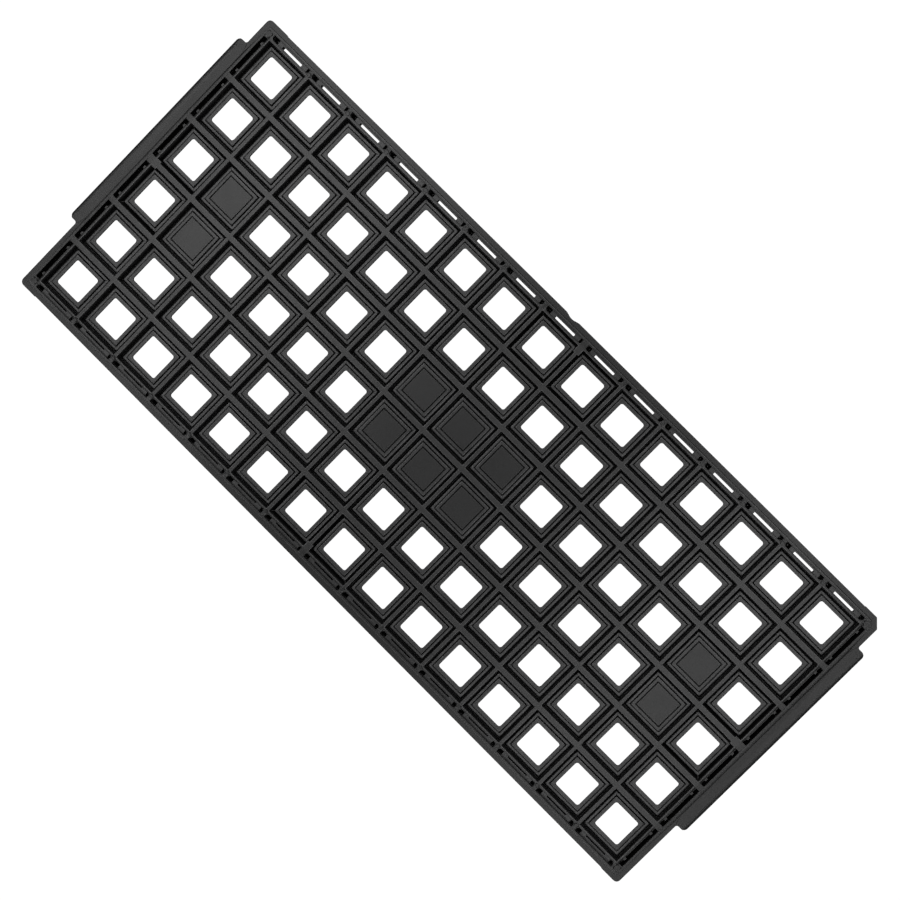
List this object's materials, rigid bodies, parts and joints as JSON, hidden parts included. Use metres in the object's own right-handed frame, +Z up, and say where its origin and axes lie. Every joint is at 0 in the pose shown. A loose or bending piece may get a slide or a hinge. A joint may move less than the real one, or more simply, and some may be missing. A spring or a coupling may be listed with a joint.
{
  "type": "matrix component tray",
  "caption": "Thin stackable moulded tray with a grid of square pockets that carry flat electronic packages through pick-and-place, baking and shipping.",
  "frame": {"origin": "centre of the plane the tray rests on, under the middle of the pocket grid", "axes": "+X along the tray's length, towards the end with the cut corner; +Y across it, towards the side with the finger notch; +Z up out of the pockets"},
  "size_m": [0.3226, 0.136, 0.0076],
  "materials": {
    "carbon_filled_plastic": "matte, fine moulded texture, charcoal black"
  },
  "bodies": {
    "root": {"tray_moulding": "carbon_filled_plastic"}
  },
  "joints": []
}
